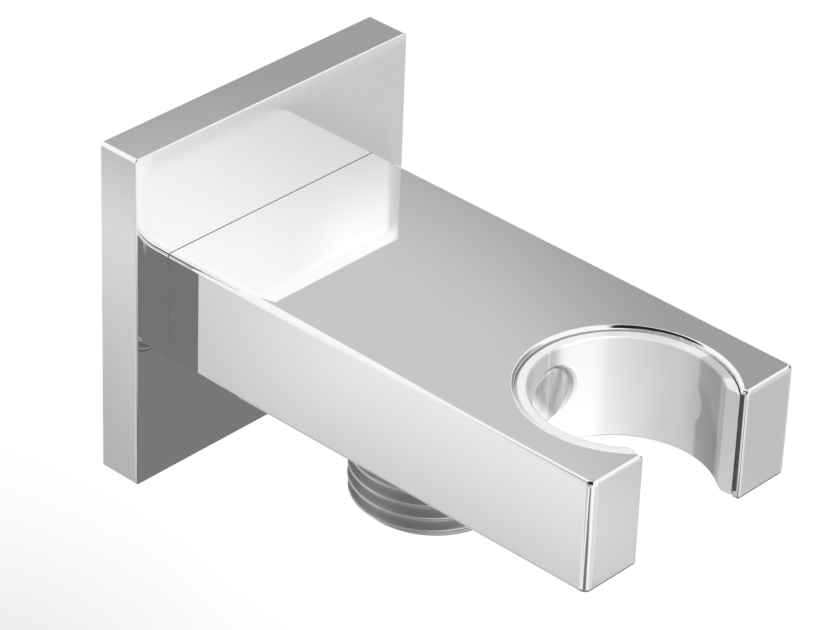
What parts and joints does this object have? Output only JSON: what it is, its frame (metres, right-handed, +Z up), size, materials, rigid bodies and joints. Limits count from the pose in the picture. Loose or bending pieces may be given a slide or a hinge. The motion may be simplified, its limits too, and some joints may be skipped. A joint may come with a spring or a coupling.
{
  "type": "hand shower holder",
  "caption": "Square wall plate and bar with a slotted cup that holds a hand shower, a threaded hose outlet underneath and a sprung check valve inside it.",
  "frame": {"origin": "centre of the inlet where its axis crosses the wall, in the plane of the plate's back face", "axes": "+Y goes into the wall along the inlet, +Z is up, +X is to the right when facing the wall; the bar reaches towards -Y and the hose outlet points to -Z"},
  "size_m": [0.046, 0.0875, 0.046],
  "materials": {
    "chrome": "polished chrome plate on brass",
    "brass": "bare turned brass",
    "steel": "plain stainless steel",
    "spring_steel": "drawn stainless spring wire",
    "clear_plastic": "clear, glossy",
    "seal_rubber": "smooth, matt",
    "foam_rubber": "fine closed-cell foam",
    "valve_plastic": "moulded acetal, satin",
    "poppet_plastic": "moulded acetal, satin"
  },
  "bodies": {
    "holder": {"wall_plate": "chrome", "wall_gasket": "foam_rubber", "plate_screw_left": "steel", "plate_screw_right": "steel", "arm": "chrome", "cup_liner": "clear_plastic", "liner_stud": "steel", "wall_nipple": "brass", "nipple_oring_front": "seal_rubber", "nipple_oring_rear": "seal_rubber", "lock_screw": "steel", "hose_nipple": "chrome", "outlet_seal": "seal_rubber", "valve_housing": "valve_plastic", "housing_oring": "seal_rubber", "valve_guide": "valve_plastic", "valve_spring": "spring_steel"},
    "poppet": {"valve_poppet": "poppet_plastic", "poppet_seal": "seal_rubber"}
  },
  "joints": [
    {"name": "poppet_slide", "type": "slide", "parent": "holder", "child": "poppet", "axis": [0, 0, -1], "range_m": [0, 0.0025], "stiffness_N_per_m": 100, "springref_m": -0.001, "deforming": ["valve_spring"]}
  ]
}
